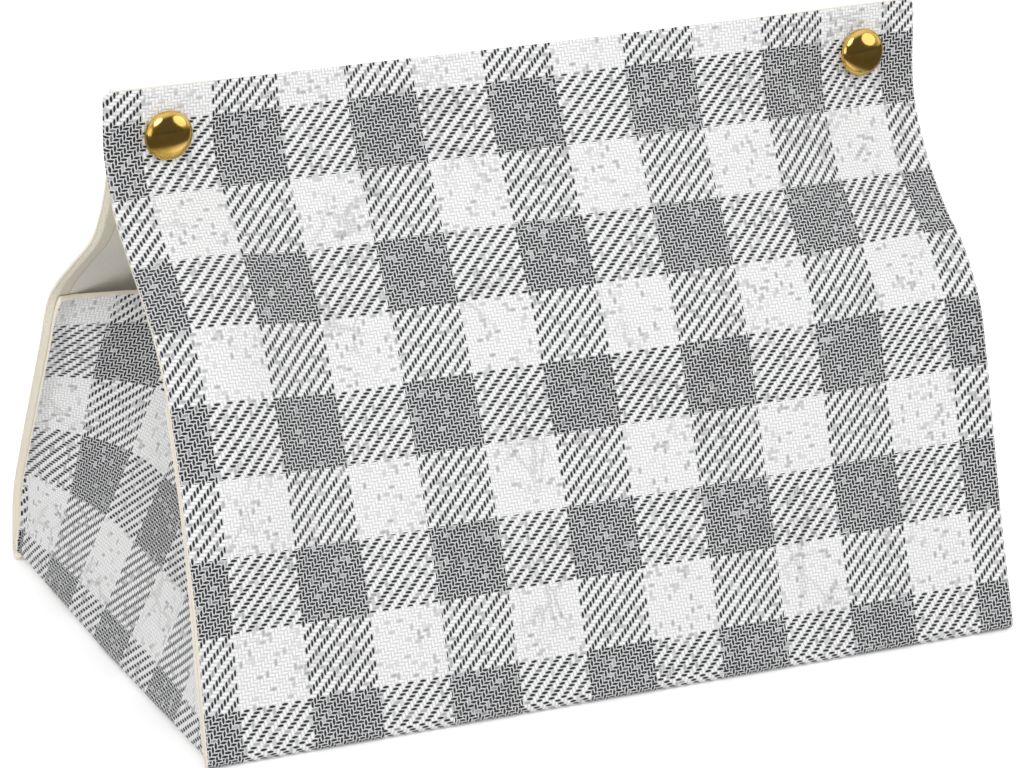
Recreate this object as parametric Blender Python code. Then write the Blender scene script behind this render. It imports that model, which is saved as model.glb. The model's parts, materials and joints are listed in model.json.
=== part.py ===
"""A tent-shaped tissue box cover, folded from one soft laminated sheet.

The base turns up into a front and a back panel, which lean in, bend at a shoulder and meet
in an upright band. Two dome snaps join the bands, and tissues come out between them. The
base also turns up into two end gussets, which fold inwards between the panels. The sheet is
soft: the front panel sags beside its middle and swells at its left end, and both bands bow.

Metres, +Z up, origin at the middle of the underside. The front faces -Y.
"""

from math import atan2, cos, hypot, pi, radians, sin, tan

import bmesh
import bpy
from mathutils import Matrix, Vector
from numpy import interp

# Overall form
WIDTH = 0.240
DEPTH = 0.152
WALL_LENGTH = 0.0955
WALL_LEAN = radians(20.5)
BAND_HEIGHT = 0.0185

# The laminated sheet: a coated skin outside, a lining inside, glued together
SKIN = 0.0007
GLUE_LINE = 0.0003
LINING = 0.0006
SHEET = SKIN + GLUE_LINE + LINING

# Clearance between pieces that touch, and the cut along each fold line
SEAT = 0.0003
FOLD_CUT = 0.0003
CUTTER_OVERRUN = 0.003
WELD = 0.00001

# Folds along the front and back of the base
FOLD_RADIUS = 0.0024
FOLD_LAND = 0.0005

# Flaps above the shoulder, measured along the sheet
SHOULDER_BEND = 0.010
SLOPE_LEAN = radians(52)
NECK_BEND = 0.030
CORNER_RADIUS = 0.003
BACK_DROP = 0.0035
BACK_BOW = 0.0100
BOW_FLAT_SHARE = 0.25

# Soft form of the front panel: a sag left of its middle, and a swell at its left end
FRONT_SAG = 0.0078
SAG_CENTRE = 0.024
SWELL = 0.0095
SWELL_RISE = 0.070
SWELL_FALL = 0.032

# End gussets and the flanges that glue them to the panels
GUSSET_FOLD_RADIUS = 0.008
GUSSET_DROP = 0.0006
CREASE_ANGLE = radians(25)
CREASE_RUN = 0.0105
CREASE_FOOT_RUN = 0.036
FLANGE_MARGIN = 0.0025
FLANGE_SPREAD = 0.0037

# Dome snaps
SNAP_INSET = 0.0170
SNAP_DROP = 0.0134
SNAP_LAND = 0.004
STUD_RADIUS = 0.00185
STUD_TIP_RADIUS = 0.0010
STUD_HEIGHT = 0.0011
STUD_CLEARANCE = 0.00035
SOCKET_BORE_RADIUS = STUD_RADIUS + STUD_CLEARANCE
BARREL_WALL = 0.0005
BARREL_RADIUS = SOCKET_BORE_RADIUS + BARREL_WALL
BARREL_DEPTH = LINING + GLUE_LINE - SEAT
SNAP_HOLE_RADIUS = BARREL_RADIUS + SEAT
SNAP_FLANGE = 0.0005
SNAP_FLANGE_RADIUS = 0.0050
CAP_RADIUS = 0.00635
CAP_HEIGHT = 0.0030
CAP_EDGE = 0.0005
RIVET_RADIUS = 0.0048
RIVET_HEIGHT = 0.0012
RIVET_EDGE = 0.0003

# The bands stand apart by the two snap flanges and their seats
BAND_GAP = 2 * SNAP_FLANGE + 3 * SEAT

# How finely the curves are cut
FOLD_STEPS = 4
SHOULDER_STEPS = 3
NECK_STEPS = 5
CORNER_STEPS = 3
GUSSET_FOLD_STEPS = 5
GUSSET_STEPS = 6
CREASE_STEPS = 4
TURN_STEPS = 32
DOME_STEPS = 7
HOLE_STEPS = 32
CREASE_ROUND_SHARE = 0.6

# A soft panel's columns, and how much of the swell each one has at the swollen end
COLUMN_SHARES = (0, 0.2, 0.34, 0.46, 0.58, 0.70, 0.80, 1)
SWELL_SHARES = (0, 0, 0, 0, 0.08, 0.42, 1, 1)
SWELL_FULL_SHARE = 0.80
SHARP_ANGLE = radians(40)

FRONT = -1
BACK = 1
LEFT = -1
RIGHT = 1

FACE_NAMES = {FRONT: "front", BACK: "back"}
END_NAMES = {LEFT: "left", RIGHT: "right"}


def clear_scene():
    for item in list(bpy.data.objects):
        bpy.data.objects.remove(item, do_unlink=True)


def make_material(name, colour, roughness, metallic=0.0):
    material = bpy.data.materials.new(name)
    material.use_nodes = True
    shader = material.node_tree.nodes["Principled BSDF"]
    shader.inputs["Base Color"].default_value = (*colour, 1.0)
    shader.inputs["Roughness"].default_value = roughness
    shader.inputs["Metallic"].default_value = metallic
    return material


def blend(low, high, share):
    return low + (high - low) * share


def smooth_step(value):
    value = min(max(value, 0.0), 1.0)
    return value * value * (3 - 2 * value)


def wall_start():
    """Inward distance and height at which the base's turned-up edge ends."""
    inward = FOLD_RADIUS * (1 - cos(WALL_LEAN)) + FOLD_LAND * sin(WALL_LEAN)
    height = FOLD_RADIUS * (1 + sin(WALL_LEAN)) + FOLD_LAND * cos(WALL_LEAN)
    return inward, height


def along_wall(run):
    """The point of the panel's outer face that lies a given run above the base's edge."""
    inward, height = wall_start()
    return inward + run * sin(WALL_LEAN), height + run * cos(WALL_LEAN)


def wall_inner(height):
    """How far in the panel's lining face lies at a height."""
    start_inward, start_height = wall_start()
    rise = max(height - start_height, 0)
    return start_inward + rise * tan(WALL_LEAN) + SHEET / cos(WALL_LEAN)


def bow_end():
    """How far from the middle a panel may bow, clear of the snaps."""
    return WIDTH / 2 - SNAP_INSET - SNAP_FLANGE_RADIUS - SNAP_LAND


def sag(side, x):
    """How far in a panel lies at its shoulder and above, against its side edges."""
    if side == BACK:
        return 0
    return FRONT_SAG * (1 - smooth_step(abs(x + SAG_CENTRE) / (bow_end() - SAG_CENTRE)))


def swell(side, x, run):
    """How far out a panel stands at its left end, square to the sheet."""
    if side == BACK or x > 0:
        return 0
    across = interp(-x / (WIDTH / 2), COLUMN_SHARES, SWELL_SHARES)
    return SWELL * across * smooth_step(run / SWELL_RISE)


def soft_point(side, x, run, inward, height):
    """A point of a panel below the shoulder, or of what lies on it, in the soft form."""
    out = swell(side, x, run)
    inward += sag(side, x) * (run / WALL_LENGTH) ** 2 - out * cos(WALL_LEAN)
    return Vector((x, side * (DEPTH / 2 - inward), height + out * sin(WALL_LEAN)))


def bend_points(start, lean_from, lean_to, length, steps):
    """Points along an arc on which the sheet's lean changes evenly."""
    radius = length / (lean_to - lean_from)
    points = []
    for step in range(1, steps + 1):
        lean = blend(lean_from, lean_to, step / steps)
        inward = start[0] + radius * (cos(lean_from) - cos(lean))
        height = start[1] + radius * (sin(lean) - sin(lean_from))
        points.append((inward, height))
    return points


def flap_section(band_height):
    """The flap's outer face at a side edge: (inward, height, half width) from fold to top."""
    points = [along_wall(WALL_LENGTH + FOLD_CUT / 2)]
    points.append(along_wall(WALL_LENGTH + FOLD_CUT / 2 + FOLD_LAND))
    points += bend_points(points[-1], WALL_LEAN, SLOPE_LEAN, SHOULDER_BEND, SHOULDER_STEPS)
    neck = bend_points((0, 0), SLOPE_LEAN, 0, NECK_BEND, NECK_STEPS)
    band_inward = DEPTH / 2 - BAND_GAP / 2 - SHEET
    slope_inward = band_inward - points[-1][0] - neck[-1][0]
    foot = (points[-1][0] + slope_inward, points[-1][1] + slope_inward / tan(SLOPE_LEAN))
    points.append(foot)
    points += [(foot[0] + inward, foot[1] + height) for inward, height in neck]
    neck_top = points[-1][1]
    section = [(inward, height, WIDTH / 2) for inward, height in points]
    for step in range(CORNER_STEPS + 1):
        angle = pi / 2 * step / CORNER_STEPS
        height = neck_top + band_height - CORNER_RADIUS * (1 - sin(angle))
        half_width = WIDTH / 2 - CORNER_RADIUS * (1 - cos(angle))
        section.append((band_inward, height, half_width))
    return section


def band_top():
    return flap_section(BAND_HEIGHT)[-1][1]


def end_lean():
    """How far an end gusset leans in, from the fold of a sheet round the base's corner."""
    up = (cos(CREASE_ANGLE) - sin(CREASE_ANGLE) * sin(WALL_LEAN)) / cos(WALL_LEAN)
    across = (cos(CREASE_ANGLE) ** 2 - up**2) ** 0.5
    return atan2(across, up)


def mirrored_shares(shares):
    return [-share for share in reversed(shares[1:])] + list(shares)


def sheet_leans(section):
    """The sheet's lean at each point of a section, from the points beside it."""
    leans = []
    for index in range(len(section)):
        low = section[max(index - 1, 0)]
        high = section[min(index + 1, len(section) - 1)]
        leans.append(atan2(high[0] - low[0], high[1] - low[1]))
    leans[0] = WALL_LEAN
    return leans


def sheet_runs(section):
    """How far above the base's edge each point of a flap's section lies, along the sheet."""
    runs = [WALL_LENGTH + FOLD_CUT / 2]
    for low, high in zip(section, section[1:]):
        runs.append(runs[-1] + hypot(high[0] - low[0], high[1] - low[1]))
    return runs


def place(item, pivot, parent):
    """Puts the object's origin on its pivot, which its parent empty may carry."""
    item.data.transform(Matrix.Translation(-pivot))
    item.parent = parent
    item.location = pivot - (parent.matrix_world.translation if parent else Vector())


def add_object(name, mesh_builder, material):
    mesh = bpy.data.meshes.new(name)
    mesh_builder.to_mesh(mesh)
    mesh_builder.free()
    mesh.materials.append(material)
    mesh.shade_smooth()
    mesh.set_sharp_from_angle(angle=SHARP_ANGLE)
    item = bpy.data.objects.new(name, mesh)
    bpy.context.scene.collection.objects.link(item)
    return item


def is_flat(face):
    """Whether a four-cornered face lies in one plane."""
    first, second, third, fourth = [vertex.co for vertex in face.verts]
    square = (second - first).cross(third - first).normalized()
    return abs(square.dot(fourth - first)) < WELD


def add_layer(name, rows, depth, thickness, material, keep=None):
    """One layer of the sheet: the outer face given by rows, set in by a depth, made solid."""
    builder = bmesh.new()
    grid = [[builder.verts.new(point) for point in row] for row in rows]
    for low in range(len(grid) - 1):
        for left in range(len(grid[low]) - 1):
            if keep is None or keep(low, left):
                corners = (
                    grid[low][left],
                    grid[low][left + 1],
                    grid[low + 1][left + 1],
                    grid[low + 1][left],
                )
                builder.faces.new(corners)
    bent = [face for face in builder.faces if not is_flat(face)]
    bmesh.ops.triangulate(builder, faces=bent, quad_method="FIXED")
    unused = [vertex for vertex in builder.verts if not vertex.link_faces]
    bmesh.ops.delete(builder, geom=unused, context="VERTS")
    builder.normal_update()
    moves = [vertex.normal * depth * vertex.calc_shell_factor() for vertex in builder.verts]
    for vertex, move in zip(builder.verts, moves):
        vertex.co -= move
    item = add_object(name, builder, material)
    solid = item.modifiers.new("Thickness", "SOLIDIFY")
    solid.thickness = thickness
    solid.offset = -1
    solid.use_even_offset = True
    return item


def add_sheet(name, rows, skin, lining, keep=None):
    """The two layers of the laminated sheet as separate pieces."""
    outer = add_layer(name + "_skin", rows, 0, SKIN, skin, keep)
    inner = add_layer(name + "_lining", rows, SKIN + GLUE_LINE, LINING, lining, keep)
    return [outer, inner]


def add_turned(name, profile, material, facing, centre, parent):
    """A piece turned about the snap's axis, from (radius, distance outwards) points."""
    builder = bmesh.new()
    ring = [builder.verts.new((radius, 0, along)) for radius, along in profile]
    edges = [builder.edges.new(pair) for pair in zip(ring, ring[1:])]
    if profile[0][0] > 0:
        edges.append(builder.edges.new((ring[-1], ring[0])))
    bmesh.ops.spin(
        builder,
        geom=ring + edges,
        cent=(0, 0, 0),
        axis=(0, 0, 1),
        angle=2 * pi,
        steps=TURN_STEPS,
        use_merge=True,
    )
    bmesh.ops.remove_doubles(builder, verts=builder.verts, dist=WELD)
    bmesh.ops.recalc_face_normals(builder, faces=builder.faces)
    item = add_object(name, builder, material)
    item.data.transform(Matrix.Rotation(-facing * pi / 2, 4, "X"))
    item.parent = parent
    item.location = centre - parent.matrix_world.translation
    return item


def add_hinge(name, pivot, parent):
    empty = bpy.data.objects.new(name, None)
    empty.empty_display_size = SNAP_INSET
    bpy.context.scene.collection.objects.link(empty)
    empty.parent = parent
    empty.location = pivot - (parent.matrix_world.translation if parent else Vector())
    bpy.context.view_layer.update()
    return empty


def add_base(skin, lining):
    """The floor panel, with the folds that turn up along its front and back."""
    turn = pi / 2 + WALL_LEAN
    fold = []
    for step in range(FOLD_STEPS + 1):
        angle = turn * (1 - step / FOLD_STEPS)
        fold.append((FOLD_RADIUS * (1 - sin(angle)), FOLD_RADIUS * (1 - cos(angle))))
    path = [(inward - DEPTH / 2, height) for inward, height in [wall_start(), *fold]]
    path += [(-y, height) for y, height in reversed(path)]
    floor_end = gusset_fold_middle() - FOLD_LAND - FOLD_CUT
    columns = (WIDTH / 2, floor_end, -floor_end, -WIDTH / 2)
    rows = [[Vector((x, y, height)) for x in columns] for y, height in path]
    middle_column = 1

    def keep(row, column):
        return column == middle_column or row != FOLD_STEPS + 1

    for item in add_sheet("base", rows, skin, lining, keep):
        place(item, Vector(), None)


def add_wall(side, skin, lining, hinge):
    """A leaning panel, from the base fold to the shoulder. The back one is flat."""
    shares = (-1, 1)
    runs = [FOLD_CUT, WALL_LENGTH - FOLD_CUT / 2]
    if side == FRONT:
        shares = mirrored_shares(COLUMN_SHARES)
        runs[1:1] = [run for run, edge, height in gusset_steps()[:-1]]
    rows = []
    for run in runs:
        row = [soft_point(side, -side * share * WIDTH / 2, run, *along_wall(run)) for share in shares]
        rows.append(row)
    for item in add_sheet(FACE_NAMES[side] + "_wall", rows, skin, lining):
        place(item, hinge.matrix_world.translation, hinge)


def flap_rows(side):
    """The flap's outer face. Between the snaps it bends less than along its side edges."""
    band_height = BAND_HEIGHT if side == FRONT else BAND_HEIGHT - BACK_DROP
    bow = 0 if side == FRONT else BACK_BOW
    section = flap_section(band_height)
    runs = sheet_runs(section)
    low_inward, low_height, half = section[0]
    top_inward, top_height, half = section[-1]
    bow_start = WIDTH / 2 * BOW_FLAT_SHARE
    fall_start = runs[-1] - SNAP_DROP - SNAP_FLANGE_RADIUS - SWELL_FALL
    rows = []
    for (inward, height, half_width), lean, run in zip(section, sheet_leans(section), runs):
        climb = (height - low_height) / (top_height - low_height)
        chord = blend(low_inward, top_inward - bow, climb)
        swell_share = 1 - smooth_step((run - fall_start) / SWELL_FALL)
        row = []
        for share in mirrored_shares(COLUMN_SHARES):
            x = -side * share * half_width
            weight = 1 - smooth_step((abs(x) - bow_start) / (bow_end() - bow_start))
            out = swell(side, x, run) * swell_share
            soft_inward = blend(inward, chord, weight) + sag(side, x) - out * cos(lean)
            row.append(Vector((x, side * (DEPTH / 2 - soft_inward), height + out * sin(lean))))
        rows.append(row)
    return rows


def snap_centre(end, side):
    """The middle of a snap on the flap's outer face."""
    y = side * (BAND_GAP / 2 + SHEET)
    return Vector((end * (WIDTH / 2 - SNAP_INSET), y, band_top() - SNAP_DROP))


def add_hole_cutter(end):
    builder = bmesh.new()
    bmesh.ops.create_cone(
        builder,
        cap_ends=True,
        segments=HOLE_STEPS,
        radius1=SNAP_HOLE_RADIUS,
        radius2=SNAP_HOLE_RADIUS,
        depth=BAND_GAP + 2 * SHEET + 2 * CUTTER_OVERRUN,
        matrix=Matrix.Rotation(pi / 2, 4, "X"),
    )
    mesh = bpy.data.meshes.new(END_NAMES[end] + "_snap_hole")
    builder.to_mesh(mesh)
    builder.free()
    cutter = bpy.data.objects.new(mesh.name, mesh)
    bpy.context.scene.collection.objects.link(cutter)
    centre = snap_centre(end, FRONT)
    cutter.location = (centre.x, 0, centre.z)
    cutter.hide_render = True
    cutter.display_type = "WIRE"
    return cutter


def shoulder_middle(side):
    """The middle of a flap's fold line, which runs straight from the swell to the other end."""
    inward, height = along_wall(WALL_LENGTH)
    out = SWELL / (1 + SWELL_FULL_SHARE) if side == FRONT else 0
    y = side * (DEPTH / 2 - inward + out * cos(WALL_LEAN))
    return Vector((0, y, height + out * sin(WALL_LEAN)))


def add_flap(side, skin, lining, hinge, cutters):
    """The flap above the shoulder, holed for the snaps."""
    name = FACE_NAMES[side] + "_flap"
    for item in add_sheet(name, flap_rows(side), skin, lining):
        place(item, hinge.matrix_world.translation, hinge)
        for cutter in cutters:
            hole = item.modifiers.new("Snap hole", "BOOLEAN")
            hole.operation = "DIFFERENCE"
            hole.solver = "EXACT"
            hole.object = cutter


def gusset_fold_middle():
    return WIDTH / 2 - FLANGE_MARGIN - GUSSET_FOLD_RADIUS


def gusset_fold_top():
    """Reach and height at which the gusset leaves its rounded fold."""
    reach = gusset_fold_middle() + GUSSET_FOLD_RADIUS * cos(end_lean())
    height = GUSSET_FOLD_RADIUS * (1 + sin(end_lean()))
    return reach, height


def gusset_steps():
    """Rows above the fold: (run along the panel, reach of the glued edge, height)."""
    fold_reach, fold_height = gusset_fold_top()
    glued_drop = (2 * SHEET + SEAT) * sin(WALL_LEAN)
    start_height = along_wall(0)[1] - glued_drop
    low_run = (fold_height - start_height) / cos(WALL_LEAN)
    steps = []
    for step in range(GUSSET_STEPS + 1):
        share = step / GUSSET_STEPS
        edge = fold_reach - FLANGE_SPREAD * (1 - (1 - share) ** 2)
        run = blend(low_run, WALL_LENGTH - GUSSET_DROP, share)
        steps.append((run, edge, along_wall(run)[1] - glued_drop))
    return steps


def gusset_levels():
    """Rows of the gusset: (reach of its middle, reach of its glued edge, height, run)."""
    lean = end_lean()
    turn = pi / 2 + lean
    fold_middle = gusset_fold_middle()
    start = fold_middle - FOLD_LAND
    levels = [(start, start, 0, 0)]
    for step in range(GUSSET_FOLD_STEPS):
        angle = turn * step / GUSSET_FOLD_STEPS
        reach = fold_middle + GUSSET_FOLD_RADIUS * sin(angle)
        levels.append((reach, reach, GUSSET_FOLD_RADIUS * (1 - cos(angle)), 0))
    fold_reach, fold_height = gusset_fold_top()
    for run, edge, height in gusset_steps():
        rise = (height - fold_height) / cos(WALL_LEAN)
        levels.append((fold_reach - rise * sin(lean), edge, height, run))
    return levels


def glued_inward(height):
    """How far in the patterned face of a flange lies, glued to the panel's lining."""
    return wall_inner(height) + (SEAT + SHEET) / cos(WALL_LEAN)


def crease_run(height):
    """How far in from its panel a gusset's crease lies: it slants from the base to the top."""
    return blend(CREASE_FOOT_RUN, CREASE_RUN, height / along_wall(WALL_LENGTH)[1])


def gusset_half(end, side, level):
    """Half a gusset row, from its glued edge to near its middle."""
    middle, edge, height, run = level
    start = Vector((edge, glued_inward(height)))
    corner = Vector((middle, start.y + crease_run(height)))
    side_length = (corner - start).length
    room = DEPTH / 2 - corner.y
    first = corner.lerp(start, CREASE_ROUND_SHARE)
    reach_in = min(side_length, room) * CREASE_ROUND_SHARE
    last = corner + Vector((0, reach_in))
    points = [start]
    for step in range(CREASE_STEPS + 1):
        share = step / CREASE_STEPS
        points.append(first.lerp(corner, share).lerp(corner.lerp(last, share), share))
    return [soft_point(side, end * reach, run, inward, height) for reach, inward in points]


def add_gusset(end, skin, lining):
    """An end panel that folds up from the base and inwards between the front and back."""
    rows = []
    for level in gusset_levels():
        row = gusset_half(end, FRONT, level) + gusset_half(end, BACK, level)[::-1]
        rows.append(row if end == RIGHT else row[::-1])
    for item in add_sheet(END_NAMES[end] + "_gusset", rows, skin, lining):
        place(item, Vector((end * WIDTH / 2, 0, 0)), None)


def add_flange(end, side, material, hinge):
    """The gusset's turned-out edge, glued to the panel's lining."""
    outer = WIDTH / 2 - FLANGE_MARGIN
    rows = []
    for run, edge, height in gusset_steps():
        inward = glued_inward(height)
        reaches = (outer, edge + SEAT)
        row = [soft_point(side, end * reach, run, inward, height) for reach in reaches]
        rows.append(row if end * side == FRONT * RIGHT else row[::-1])
    name = f"{END_NAMES[end]}_{FACE_NAMES[side]}_flange"
    item = add_layer(name, rows, 0, SHEET, material)
    place(item, hinge.matrix_world.translation, hinge)


def dome_points(radius, height, base):
    """A dome from its widest ring to its top, on the axis."""
    points = []
    for step in range(DOME_STEPS + 1):
        angle = pi / 2 * step / DOME_STEPS
        points.append((radius * cos(angle), base + height * sin(angle)))
    points[-1] = (0, base + height)
    return points


def head_profile(radius, edge, height):
    """A snap's outer head, whose post fills the hole in the skin."""
    rim = [(0, -SKIN), (BARREL_RADIUS, -SKIN), (BARREL_RADIUS, SEAT), (radius - edge, SEAT)]
    return rim + dome_points(radius, height - edge, SEAT + edge)


def socket_profile():
    """A ring on the lining, whose barrel fills the hole in it."""
    return [
        (SOCKET_BORE_RADIUS, -BARREL_DEPTH),
        (BARREL_RADIUS, -BARREL_DEPTH),
        (BARREL_RADIUS, SEAT),
        (SNAP_FLANGE_RADIUS, SEAT),
        (SNAP_FLANGE_RADIUS, SEAT + SNAP_FLANGE),
        (SOCKET_BORE_RADIUS, SEAT + SNAP_FLANGE),
    ]


def stud_profile():
    """A flanged stud, tapered so that it leaves the socket along the flap's arc."""
    face = SEAT + SNAP_FLANGE
    return [
        (0, -BARREL_DEPTH),
        (BARREL_RADIUS, -BARREL_DEPTH),
        (BARREL_RADIUS, SEAT),
        (SNAP_FLANGE_RADIUS, SEAT),
        (SNAP_FLANGE_RADIUS, face),
        (STUD_RADIUS, face),
        (STUD_TIP_RADIUS, face + STUD_HEIGHT),
        (0, face + STUD_HEIGHT),
    ]


def add_snap(end, front_hinge, back_hinge, gold, brass):
    """The four pieces of a dome snap, two on each flap."""
    name = END_NAMES[end]
    front = snap_centre(end, FRONT)
    back = snap_centre(end, BACK)
    front_lining = front - Vector((0, FRONT * SHEET, 0))
    back_lining = back - Vector((0, BACK * SHEET, 0))
    cap = head_profile(CAP_RADIUS, CAP_EDGE, CAP_HEIGHT)
    rivet = head_profile(RIVET_RADIUS, RIVET_EDGE, RIVET_HEIGHT)
    add_turned(name + "_cap", cap, gold, FRONT, front, front_hinge)
    add_turned(name + "_socket", socket_profile(), brass, BACK, front_lining, front_hinge)
    add_turned(name + "_stud", stud_profile(), brass, FRONT, back_lining, back_hinge)
    add_turned(name + "_rivet", rivet, gold, BACK, back, back_hinge)


def main():
    clear_scene()
    skin = make_material("Checked skin", (0.55, 0.56, 0.58), 0.55)
    lining = make_material("Cream lining", (0.78, 0.74, 0.66), 0.80)
    gold = make_material("Polished gold", (0.83, 0.60, 0.20), 0.12, 1.0)
    brass = make_material("Plain brass", (0.72, 0.56, 0.28), 0.30, 1.0)

    add_base(skin, lining)
    cutters = [add_hole_cutter(end) for end in (LEFT, RIGHT)]
    flap_hinges = {}
    for side in (FRONT, BACK):
        name = FACE_NAMES[side]
        inward, height = along_wall(FOLD_CUT / 2)
        fold = Vector((0, side * (DEPTH / 2 - inward), height))
        wall_hinge = add_hinge(name + "_wall_fold", fold, None)
        flap_hinges[side] = add_hinge(name + "_flap_fold", shoulder_middle(side), wall_hinge)
        add_wall(side, skin, lining, wall_hinge)
        add_flap(side, skin, lining, flap_hinges[side], cutters)
        for end in (LEFT, RIGHT):
            add_flange(end, side, skin, wall_hinge)
    for end in (LEFT, RIGHT):
        add_gusset(end, skin, lining)
        add_snap(end, flap_hinges[FRONT], flap_hinges[BACK], gold, brass)
    bpy.context.view_layer.update()


main()
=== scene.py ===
"""The visual model of a soft tissue box cover, folded from one laminated sheet.

The front and back panels are curved sheets with a woven gingham skin outside and a cream
lining inside. The end gussets are folded inwards and glued to the panels by flanges. The snaps'
domes are finely turned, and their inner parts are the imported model's own.
"""

import json
from math import atan2, cos, pi, radians, sin

import bpy
import numpy as np
from mathutils import Matrix, Vector


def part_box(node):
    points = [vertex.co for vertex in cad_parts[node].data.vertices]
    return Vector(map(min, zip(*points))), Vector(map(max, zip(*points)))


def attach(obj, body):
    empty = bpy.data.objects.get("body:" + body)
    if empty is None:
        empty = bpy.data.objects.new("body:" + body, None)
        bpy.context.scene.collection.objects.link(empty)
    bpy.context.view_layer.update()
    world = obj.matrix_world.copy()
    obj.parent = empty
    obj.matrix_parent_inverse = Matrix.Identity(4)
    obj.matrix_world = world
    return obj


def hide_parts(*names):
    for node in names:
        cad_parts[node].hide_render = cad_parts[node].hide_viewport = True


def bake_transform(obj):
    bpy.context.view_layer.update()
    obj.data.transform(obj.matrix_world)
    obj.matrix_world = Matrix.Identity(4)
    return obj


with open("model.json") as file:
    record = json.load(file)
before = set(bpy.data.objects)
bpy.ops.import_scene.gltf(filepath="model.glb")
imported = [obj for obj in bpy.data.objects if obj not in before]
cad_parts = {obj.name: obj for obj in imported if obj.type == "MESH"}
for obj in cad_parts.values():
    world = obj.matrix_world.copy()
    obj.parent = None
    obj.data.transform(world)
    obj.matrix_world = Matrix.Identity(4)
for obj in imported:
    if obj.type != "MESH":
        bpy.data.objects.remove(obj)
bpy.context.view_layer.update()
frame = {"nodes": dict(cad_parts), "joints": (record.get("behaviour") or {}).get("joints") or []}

FRONT = -1
BACK = 1
LEFT = -1
RIGHT = 1
FACE_NAMES = {FRONT: "front", BACK: "back"}
END_NAMES = {LEFT: "left", RIGHT: "right"}


def joint_place(name):
    """The place of a fold's hinge on the middle plane."""
    joint = next(joint for joint in frame["joints"] if joint["name"] == name)
    return Vector(joint["pos_m"])


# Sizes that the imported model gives
HALF_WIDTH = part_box("base_skin")[1].x
HALF_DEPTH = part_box("base_skin")[1].y
WIDTH = 2 * HALF_WIDTH
WALL_FOLD = joint_place("back_wall_fold")
SHOULDER = joint_place("back_flap_fold")
WALL_LEAN = atan2(WALL_FOLD.y - SHOULDER.y, SHOULDER.z - WALL_FOLD.z)
BACK_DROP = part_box("front_flap_skin")[1].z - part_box("back_flap_skin")[1].z
FLANGE_LOW, FLANGE_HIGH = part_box("left_back_flange")
FLANGE_WIDTH = FLANGE_HIGH.x - FLANGE_LOW.x
GUSSET_TOP_REACH = -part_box("left_gusset_skin")[1].x

# The laminated sheet
SKIN = 0.0008
LINING = 0.0008
SHEET = SKIN + LINING
SEAT = 0.0003
SHEET_LENGTH = 0.181
SKIVED_SHARE = 0.45
SKIVED_WIDTH = 0.0018

# Folds and corners
FOLD_RADIUS = 0.0024
FOLD_STEPS = 8
CORNER_RADIUS = 0.002
CORNER_STEPS = 6
SHARP_ANGLE = radians(50)

# Half the flat base and one base fold, along the sheet
FLAT_HALF = HALF_DEPTH - FOLD_RADIUS + FOLD_RADIUS * (pi / 2 + WALL_LEAN)

# How finely a panel is cut, with close columns at its ends
COLUMN_PITCH = 0.002
END_COLUMN_GAPS = (0, 0.0001, 0.0003, 0.0006, 0.0009, 0.0012, 0.0015, 0.0017, 0.0019)
ROW_PITCH = 0.002
TABLE_COLUMNS = 241
TABLE_ROWS = 181

# The front band's left end curls back round the narrower back band
CURL_RADIUS = 0.0019
CURL_LOW_SHARE = 0.555
CURL_HIGH_SHARE = 0.60
BAND_PULL = 0.0020
PULL_LOW_SHARE = 0.48
PULL_HIGH_SHARE = 0.57

# Where the panels' sections stand, as shares of half the width
FRONT_STATION_SHARES = (-1, -0.86, -0.62, -0.30, 0.05, 0.35, 0.64, 0.86, 1)
BACK_STATION_SHARES = (-1, -0.86, -0.55, 0, 0.55, 0.86, 1)

# Each section's points over the base fold: (inward, height) as shares of the width
FRONT_SECTION_SHARES = (
    ((0.018, 0.085), (0.034, 0.160), (0.062, 0.245), (0.096, 0.340), (0.132, 0.414),
     (0.178, 0.463), (0.235, 0.507), (0.283, 0.551), (0.303, 0.600), (0.307, 0.676)),
    ((0.036, 0.140), (0.062, 0.255), (0.095, 0.340), (0.140, 0.425),
     (0.188, 0.487), (0.246, 0.535), (0.297, 0.582), (0.306, 0.676)),
    ((0.048, 0.145), (0.087, 0.235), (0.124, 0.315), (0.163, 0.387),
     (0.207, 0.455), (0.256, 0.523), (0.299, 0.590), (0.321, 0.671)),
    ((0.054, 0.150), (0.092, 0.230), (0.130, 0.305), (0.172, 0.385),
     (0.215, 0.453), (0.262, 0.525), (0.307, 0.597), (0.338, 0.665)),
    ((0.054, 0.150), (0.088, 0.230), (0.123, 0.305), (0.163, 0.385),
     (0.204, 0.453), (0.250, 0.525), (0.295, 0.597), (0.327, 0.668)),
    ((0.053, 0.150), (0.084, 0.230), (0.114, 0.305), (0.150, 0.387),
     (0.191, 0.453), (0.237, 0.523), (0.279, 0.597), (0.306, 0.676)),
    ((0.053, 0.150), (0.083, 0.230), (0.110, 0.307), (0.142, 0.388),
     (0.187, 0.449), (0.237, 0.514), (0.276, 0.588), (0.294, 0.680)),
    ((0.053, 0.150), (0.083, 0.230), (0.109, 0.307), (0.139, 0.388),
     (0.194, 0.447), (0.256, 0.507), (0.297, 0.582), (0.306, 0.677)),
    ((0.047, 0.150), (0.071, 0.232), (0.094, 0.307), (0.115, 0.364), (0.137, 0.396),
     (0.161, 0.422), (0.204, 0.451), (0.256, 0.503), (0.290, 0.556), (0.307, 0.677)),
)
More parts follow.
